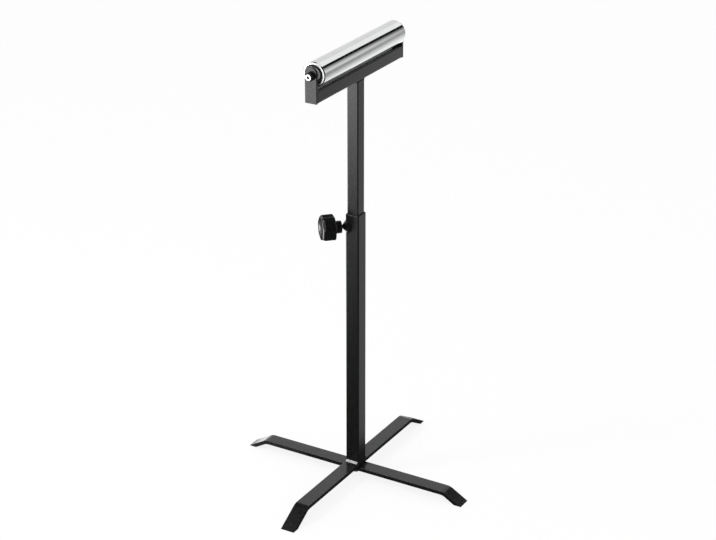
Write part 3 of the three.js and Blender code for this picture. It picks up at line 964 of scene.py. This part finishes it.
class STAND_OT_clamp(Operator):
    """Build the clamp's boss and screw, and finish its pad"""

    bl_idname = "roller_stand.clamp"
    bl_label = "Clamp"

    def execute(self, context):
        sizes = context.scene.stand_sizes
        bore = extent("clamp_screw", UP) / 2 + GAP
        root, nose = span("clamp_boss", CLAMP_AXIS)
        section = [(bore, root), (sizes.boss_radius, root), (sizes.boss_radius, sizes.cone_station)]
        section += [(sizes.nose_radius, nose), (bore, nose)]
        boss = settle(turned("clamp_cone", section), TO_CLAMP)
        room = Vector((GAP, GAP, 0))
        low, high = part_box("outer_tube")
        seat = square_bar("seat", low - room, high + room, UP, sizes.outer_corner + GAP)
        carve(boss, seat)
        finish(boss, edge=0.5 * MM)
        dress(boss, "base", "black_paint", "clamp_boss")
        start, end = span("clamp_screw", CLAMP_AXIS)
        screw = threaded_rod("clamp_thread", extent("clamp_screw", UP) / 2, sizes.screw_pitch, start, end)
        fit(screw, TO_CLAMP, "knob", "zinc", "clamp_screw", smooth=50)
        coat(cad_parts["clamp_pad"], "brass")
        return {"FINISHED"}


def lobed_face(name, knob):
    """A flat face across Y with hollows between its lobes and one lobe pointing down."""
    steps = 16
    stop_editing()
    bpy.ops.mesh.primitive_circle_add(
        vertices=steps * knob.lobes,
        radius=knob.radius,
        fill_type="NGON",
        location=BACK * knob.body_start,
        rotation=(-math.pi / 2, 0, 0),
    )
    face = named(name)
    edit(face)

    def place_in_lobe(vertex):
        turn = math.atan2(vertex.co.x, -vertex.co.z) / FULL_TURN * knob.lobes
        return round(abs(turn - round(turn)) * steps)

    for step in range(1, steps // 2 + 1):
        hollow = knob.lobe_depth / 2 * (1 - math.cos(FULL_TURN * step / steps))
        pick(face, "VERT", lambda v: place_in_lobe(v) == step)
        draw_in(1 - hollow / knob.radius, knob.body_start)
    return face


def quarter(steps):
    """Angles of a quarter turn, both ends included."""
    return [math.pi / 2 * step / steps for step in range(steps + 1)]


def grip_outline(knob, face):
    """The (radius, station) points of the grip, from its back over the rim into the hollow of its face."""
    back, rim = knob.back_edge, knob.rim_edge
    points = []
    for turn in quarter(5):
        radius = knob.radius - back * (1 - math.sin(turn))
        points.append((radius, knob.body_start + back * (1 - math.cos(turn))))
    for turn in quarter(10):
        points.append((knob.radius - rim * (1 - math.cos(turn)), face - rim * (1 - math.sin(turn))))
    steps = 12
    for step in range(steps, 0, -1):
        share = step / steps
        points.append((share * knob.dish_radius, face - knob.dish_depth * (1 - share**2)))
    return points


def lobed_grip(name, knob, face):
    """The knob's grip: a lobed face drawn out along Y, in over the rim and down into a hollow."""
    grip = lobed_face(name, knob)
    take_all("FACE")
    (radius, station), *rest = grip_outline(knob, face)
    draw_in(radius / knob.radius, station)
    for next_radius, next_station in rest:
        push(BACK * (next_station - station))
        draw_in(next_radius / radius, next_station)
        radius, station = next_radius, next_station
    bpy.ops.mesh.merge(type="CENTER")
    tidy_surface()
    stop_editing()
    return grip


class STAND_OT_knob(Operator):
    """Build the lobed clamp knob with its hub and hollow face"""

    bl_idname = "roller_stand.knob"
    bl_label = "Clamp knob"

    def execute(self, context):
        knob = context.scene.stand_knob
        start, face = span("clamp_knob", CLAMP_AXIS)
        grip = lobed_grip("clamp_grip", knob, face)
        wide, flare = knob.hub_radius + knob.hub_flare, knob.hub_flare
        inside = knob.body_start + knob.back_edge
        hub = [(0, start), (knob.hub_radius, start)]
        for turn in quarter(6):
            hub.append((wide - flare * math.cos(turn), knob.body_start - flare * (1 - math.sin(turn))))
        hub += [(wide, inside), (0, inside)]
        carve(grip, turned("hub", hub), "UNION")
        screw_end = span("clamp_screw", CLAMP_AXIS)[1] + GAP
        carve(grip, rod("screw hole", extent("clamp_screw", UP) / 2 + GAP, start - GAP, screw_end))
        fit(grip, TO_CLAMP, "knob", "knob_plastic", "clamp_knob", edge=0.8 * MM, smooth=45)
        return {"FINISHED"}


# Head


class STAND_OT_head(Operator):
    """Build the head beam and its two lugs"""

    bl_idname = "roller_stand.head"
    bl_label = "Head beam and lugs"

    def execute(self, context):
        sizes = context.scene.stand_sizes
        beam = square_tube("head_rail", "head_beam", BACK, sizes.beam_corner, sizes)
        dress(beam, "column", "black_paint", "head_beam")
        low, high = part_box("near_lug")
        lug = block("near_upright", low, high)
        edit(lug)
        pick(lug, "EDGE", lambda e: all(v.co.z > high.z - CLOSE for v in e.verts) and along(e, BACK))
        half_round = 0.4995 * (high.x - low.x)  # a little less than half, so that the two don't meet
        bpy.ops.mesh.bevel(offset=half_round, segments=24, affect="EDGES")
        tidy_surface()
        stop_editing()
        drill(lug, extent("axle", UP) / 2 + GAP, -high.y - GAP, -low.y + GAP, TO_NEAR_END)
        finish(lug, sizes.lug_edge)
        far = copied(lug, "far_upright", HALF_ROUND)
        dress(lug, "column", "black_paint", "near_lug")
        dress(far, "column", "black_paint", "far_lug")
        return {"FINISHED"}


class STAND_OT_axle(Operator):
    """Build the axle with its collars and sleeves"""

    bl_idname = "roller_stand.axle"
    bl_label = "Axle and collars"

    def execute(self, context):
        sizes = context.scene.stand_sizes
        edge, hole = sizes.hardware_edge, sizes.centre_hole
        radius = extent("axle", UP) / 2
        bore, tip = radius + GAP, span("axle", BACK)[1]
        bottom = tip - sizes.centre_depth
        half = [(radius, tip - edge), (radius - edge, tip), (hole, tip), (hole, bottom), (0, bottom - hole)]
        fit(turned("axle_bar", both_ends(half)), TO_FAR_END, "column", "zinc", "axle", smooth=35)
        start, face = span("far_axle_collar", BACK)
        rim = extent("far_axle_collar", UP) / 2
        chamfer = sizes.collar_edge
        section = [(bore, start), (rim, start), (rim, face - chamfer), (rim - chamfer, face), (bore, face)]
        fit_pair(turned("collar", section), "collar", "column", "black_paint", "axle_collar", edge)
        sleeve = ring("sleeve", bore, extent("far_spacer", UP) / 2, *span("far_spacer", BACK))
        fit_pair(sleeve, "sleeve", "column", "zinc", "spacer", edge)
        return {"FINISHED"}


# Roller


class STAND_OT_roller(Operator):
    """Build the roller tube and the bearing seats in its ends"""

    bl_idname = "roller_stand.roller"
    bl_label = "Roller"

    def execute(self, context):
        sizes = context.scene.stand_sizes
        radius, end = extent("roller_tube", UP) / 2, span("roller_tube", BACK)[1]
        bore, chamfer = radius - sizes.roller_wall, sizes.roller_chamfer
        shoulder = end - sizes.roller_crown
        half = [(radius, shoulder - chamfer), (radius - chamfer, shoulder), (bore, end)]
        tube = turned("roller_shell", both_ends(half), ROUND_SIDES)
        fit(tube, TO_FAR_END, "roller", "bright_steel", "roller_tube", edge=0.15 * MM)
        back, face = span("far_end_cap", BACK)
        seat = sizes.bearing_radius + GAP
        lip_front = span("far_bearing_outer_ring", BACK)[0] - GAP
        lip = sizes.ball_circle + 1.5 * MM
        outside = bore - GAP
        section = [(seat, face), (outside, face), (outside, back)]
        section += [(lip, back), (lip, lip_front), (seat, lip_front)]
        cap = turned("cap", section, ROUND_SIDES)
        fit_pair(cap, "bearing_seat", "roller", "cap_nylon", "end_cap", edge=0.4 * MM)
        return {"FINISHED"}


class STAND_OT_bearings(Operator):
    """Build the ball bearings: rings, balls in their cages, and seals"""

    bl_idname = "roller_stand.bearings"
    bl_label = "Bearings"

    def execute(self, context):
        sizes = context.scene.stand_sizes
        back, face = span("far_bearing_outer_ring", BACK)
        centre, circle = (back + face) / 2, sizes.ball_circle
        land = 0.7 * sizes.ball_radius
        groove = sizes.ball_radius + GAP
        reach = math.acos(land / groove)
        rings = (
            ("outer_race", "roller", "bearing_outer_ring", sizes.bearing_radius, 1),
            ("inner_race", "column", "bearing_inner_ring", extent("axle", UP) / 2 + GAP, -1),
        )
        for kind, body, node, plain, side in rings:
            section = [(plain, face), (plain, back), (circle + side * land, back)]
            steps = 12
            for step in range(steps + 1):
                turn = reach * (2 * step / steps - 1)
                section.append((circle + side * groove * math.cos(turn), centre + groove * math.sin(turn)))
            section.append((circle + side * land, face))
            fit_pair(turned(kind, section), kind, body, "bearing_steel", node, edge=0.2 * MM)
        cage = ring("cage", circle - MM, circle + MM, centre - MM, centre + MM)
        bpy.ops.mesh.primitive_uv_sphere_add(
            segments=32, ring_count=20, radius=sizes.ball_radius, location=(circle, centre, 0)
        )
        balls = named("balls")
        edit(balls)
        bpy.ops.mesh.spin(steps=sizes.ball_count, dupli=True, angle=FULL_TURN, center=(0, 0, 0), axis=BACK)
        tidy_surface()
        carve(cage, balls, "UNION")
        fit_pair(cage, "balls", "{}_cage", "bearing_steel", "ball_cage")
        inside, outside = extent("far_spacer", UP) / 2 + GAP, extent("far_bearing_seal", UP) / 2
        start, end = span("far_bearing_seal", BACK)
        lip, recess = 0.6 * MM, 0.3 * MM
        section = [(inside, start), (outside, start), (outside, end), (outside - lip, end)]
        section += [(outside - lip - recess, end - recess), (inside + lip + recess, end - recess)]
        section += [(inside + lip, end), (inside, end)]
        fit_pair(turned("seal", section), "seal", "roller", "seal_rubber", "bearing_seal")
        return {"FINISHED"}


# Studio


def add_card(name, start, end, sweep, material):
    """A flat card: an edge between two points across Y, swept along Y."""
    card = wire(name, [Vector(start), Vector(end)])
    take_all()
    push(BACK * sweep)
    stop_editing()
    card.data.materials.append(material)
    return card


def reflected_only(card):
    """Lets a card be seen only in shiny surfaces."""
    card.visible_camera = False
    card.visible_diffuse = False
    card.visible_shadow = False
    card.visible_transmission = False


def studio_material(name, surface, *values):
    """A material whose surface is made by a function."""
    material = bpy.data.materials.new(name)
    material.use_nodes = True
    tree = material.node_tree
    tree.nodes.clear()
    put(tree, "ShaderNodeOutputMaterial", {"Surface": surface(tree, *values)})
    return material


def even_light(tree, level):
    return put(tree, "ShaderNodeEmission", {"Color": WHITE, "Strength": level}).outputs[0]


def floor_surface(tree, studio):
    """White to the camera with the stand's faint shadow, and a pale floor to everything else."""
    seen = put(tree, "ShaderNodeLightPath").outputs["Is Camera Ray"]
    lit = put(tree, "ShaderNodeBsdfDiffuse", {"Color": opaque(studio.floor)})
    inputs = {0: times(tree, seen, FLOOR_WHITE), 1: lit.outputs[0], 2: even_light(tree, 1.0)}
    return put(tree, "ShaderNodeMixShader", inputs).outputs[0]


def aside(tree, place, across, through=Vector()):
    """Distance of a floor point from a line through another, along a direction across it."""
    dot = put(tree, "ShaderNodeVectorMath", {0: place, 1: across}, operation="DOT_PRODUCT")
    return calculate(tree, "SUBTRACT", dot.outputs["Value"], across.dot(through))


def front_level(tree, place, axes, studio):
    """The dark floor in front of the stand, with a pool of light that rises with distance."""
    ahead = ramp(tree, aside(tree, place, POOL_HEADING), POOL_REACH)
    pool = calculate(tree, "POWER", ahead, POOL_RISE)
    pool = times(tree, pool, ramp(tree, aside(tree, place, POOL_EDGE), POOL_LEFT))
    pool = times(tree, pool, ramp(tree, axes["X"], POOL_RIGHT, studio.pool, 0.0))
    return calculate(tree, "ADD", pool, between(tree, ahead, *FRONT_LEVELS))


def behind_mask(tree, place, axes):
    """Where the floor counts as behind the stand. Its edge runs along X, with a step beside the column."""
    steps = [ramp(tree, axes["X"], band, 0.0, depth) for band, depth in BACK_STEPS]
    depth = calculate(tree, "SUBTRACT", axes["Y"], calculate(tree, "SUBTRACT", *steps))
    right = ramp(tree, aside(tree, place, SWEEP_ASIDE), SWEEP_EDGE)
    return times(tree, ramp(tree, depth, BACK_EDGE), right)


def strip_level(tree, place, axes, studio):
    """A strip of light at the left, whose edges meet in front of the clamp knob."""
    level = ramp(tree, axes["X"], STRIP_START, 1.0, 0.0)
    edges = (
        (STRIP_NEAR, 0.03, 0.0, 1.0),
        (STRIP_MIDDLE, 0.04, STRIP_DIM, studio.strip),
        (STRIP_FAR, 0.05, 0.0, 1.0),
    )
    for across, half_width, outside, inside in edges:
        offset = aside(tree, place, across, KNOB_FOOT)
        level = times(tree, level, ramp(tree, offset, (-half_width, half_width), outside, inside))
    return level


def glow_level(tree, axes):
    """Light by the far-left foot."""
    level = times(tree, ramp(tree, axes["X"], GLOW_LEFT), ramp(tree, axes["X"], GLOW_RIGHT, GLOW, 0.0))
    return times(tree, level, ramp(tree, axes["Y"], GLOW_FRONT))


def floor_light(tree, studio):
    """The floor as shiny faces show it: white behind, dark in front, with light at the left."""
    place = put(tree, "ShaderNodeTexCoord").outputs["Object"]
    axes = put(tree, "ShaderNodeSeparateXYZ", {"Vector": place}).outputs
    front = front_level(tree, place, axes, studio)
    back = ramp(tree, aside(tree, place, BACK_ASIDE), BACK_REACH, *BACK_LEVELS)
    level = between(tree, behind_mask(tree, place, axes), front, back)
    level = calculate(tree, "ADD", level, strip_level(tree, place, axes, studio))
    return even_light(tree, calculate(tree, "ADD", level, glow_level(tree, axes)))


def screen_light(tree, studio):
    """A grey screen that darkens along the roller's axis and towards its top."""
    place = put(tree, "ShaderNodeTexCoord").outputs["Object"]
    axes = put(tree, "ShaderNodeSeparateXYZ", {"Vector": place}).outputs
    along_roller = ramp(tree, axes["Y"], SCREEN_FALL, studio.screen_near, studio.screen_far)
    return even_light(tree, times(tree, along_roller, ramp(tree, axes["Z"], (SCREEN_TOP.z, SCREEN_FULL))))


def build_world(studio):
    """White to the camera and in shiny surfaces, and soft light on everything else."""
    world = bpy.data.worlds.new("Studio")
    bpy.context.scene.world = world
    world.use_nodes = True
    tree = world.node_tree
    tree.nodes.clear()
    path = put(tree, "ShaderNodeLightPath").outputs
    shiny = calculate(tree, "MAXIMUM", path["Is Glossy Ray"], path["Is Transmission Ray"])
    seen = calculate(tree, "MAXIMUM", path["Is Camera Ray"], shiny)
    light = put(tree, "ShaderNodeBackground", {"Color": WHITE, "Strength": studio.ambient})
    white = put(tree, "ShaderNodeBackground", {"Color": WHITE, "Strength": 1.0})
    mixed = put(tree, "ShaderNodeMixShader", {0: seen, 1: light.outputs[0], 2: white.outputs[0]})
    put(tree, "ShaderNodeOutputWorld", {"Surface": mixed.outputs[0]})


def add_lamp(studio):
    """A square soft lamp in front of the stand, at the left."""
    stop_editing()
    bpy.ops.object.light_add(type="AREA", location=KEY_PLACE)
    lamp = bpy.context.object
    lamp.name = lamp.data.name = "Key"
    lamp.data.size = KEY_SIZE
    lamp.data.energy = studio.key_power
    lamp.rotation_euler = (KEY_AIM - KEY_PLACE).to_track_quat("-Z", "Y").to_euler()


def add_camera(studio):
    heading = Matrix.Rotation(studio.azimuth, 4, "Z") @ Matrix.Rotation(math.pi / 2 - studio.pitch, 4, "X")
    back = heading.to_3x3() @ UP
    stop_editing()
    place = Vector(studio.target) + back * studio.distance
    bpy.ops.object.camera_add(location=place, rotation=heading.to_euler())
    camera = bpy.context.object
    camera.name = camera.data.name = "Photo camera"
    camera.data.lens = studio.lens
    camera.data.sensor_width = 36.0
    camera.data.clip_end = 100.0
    bpy.context.scene.camera = camera


class STAND_OT_stage(Operator):
    """Set up the camera, the floor, the lamp and the cards that shiny surfaces show"""

    bl_idname = "roller_stand.stage"
    bl_label = "Studio"

    def execute(self, context):
        studio = context.scene.stand_studio
        context.scene.view_settings.view_transform = "Standard"
        add_camera(studio)
        build_world(studio)
        floor = studio_material("Studio floor", floor_surface, studio)
        add_card("studio_floor", (-30, -30, 0), (30, -30, 0), 60, floor)
        black = studio_material("Black card", even_light, 0.004)
        pale = studio_material("Pale card", even_light, 0.82)
        grey = studio_material("Grey screen", screen_light, studio)
        light = studio_material("Floor card", floor_light, studio)
        cards = (
            ("black_bar", (2.0, 3.0, 4.37), SCREEN_TOP, 5, black),
            ("grey_screen", SCREEN_TOP, (3.985, 3.0, 0.557), 5, grey),
            ("black_side", (1.8, -7.0, 4.5), (5.0, -7.0, 0.0), 8, black),
            ("pale_left", (-4.0, 3.0, 0.906), (-1.035, 3.0, 4.77), 5, pale),
            ("black_overhead", (-3.4, -1.6, 4.0), (1.5, -1.6, 4.0), 5.2, black),
            ("foot_card", (0.12, 1.2, 1.2), (0.7, 1.2, 1.2), 0.9, black),
            ("knob_card", (-0.2, 0.08, 0.6), (-0.2, 0.08, 0.8), 0.19, black),
            ("floor_card", (-14, -14, MM), (14, -14, MM), 28, light),
        )
        for card in cards:
            reflected_only(add_card(*card))
        add_lamp(studio)
        return {"FINISHED"}


class STAND_PT_panel(Panel):
    """Lists the stand's pieces, sizes and finishes"""

    bl_idname = "STAND_PT_panel"
    bl_label = "Roller Stand"
    bl_space_type = "VIEW_3D"
    bl_region_type = "UI"
    bl_category = "Stand"

    def draw(self, context):
        for operator in OPERATORS:
            self.layout.operator(operator.bl_idname)
        for owner, settings in SETTINGS.items():
            box = self.layout.box()
            for name in settings.__annotations__:
                box.prop(getattr(context.scene, owner), name)


SETTINGS = {
    "stand_sizes": StandSizes,
    "stand_knob": KnobSizes,
    "stand_finishes": StandFinishes,
    "stand_studio": StandStudio,
}
OPERATORS = (
    STAND_OT_stage,
    STAND_OT_legs,
    STAND_OT_cross_joint,
    STAND_OT_tubes,
    STAND_OT_welds,
    STAND_OT_clamp,
    STAND_OT_knob,
    STAND_OT_head,
    STAND_OT_axle,
    STAND_OT_roller,
    STAND_OT_bearings,
)
CLASSES = (*SETTINGS.values(), *OPERATORS, STAND_PT_panel)


def register():
    for made in CLASSES:
        bpy.utils.register_class(made)
    for owner, settings in SETTINGS.items():
        setattr(bpy.types.Scene, owner, PointerProperty(type=settings))


def unregister():
    for owner in SETTINGS:
        delattr(bpy.types.Scene, owner)
    for made in reversed(CLASSES):
        bpy.utils.unregister_class(made)


def main():
    register()
    stand = bpy.ops.roller_stand
    stand.stage()
    stand.legs()
    stand.cross_joint()
    stand.tubes()
    stand.welds()
    stand.clamp()
    stand.knob()
    stand.head()
    stand.axle()
    stand.roller()
    stand.bearings()
    stop_editing()


if __name__ == "__main__":
    main()
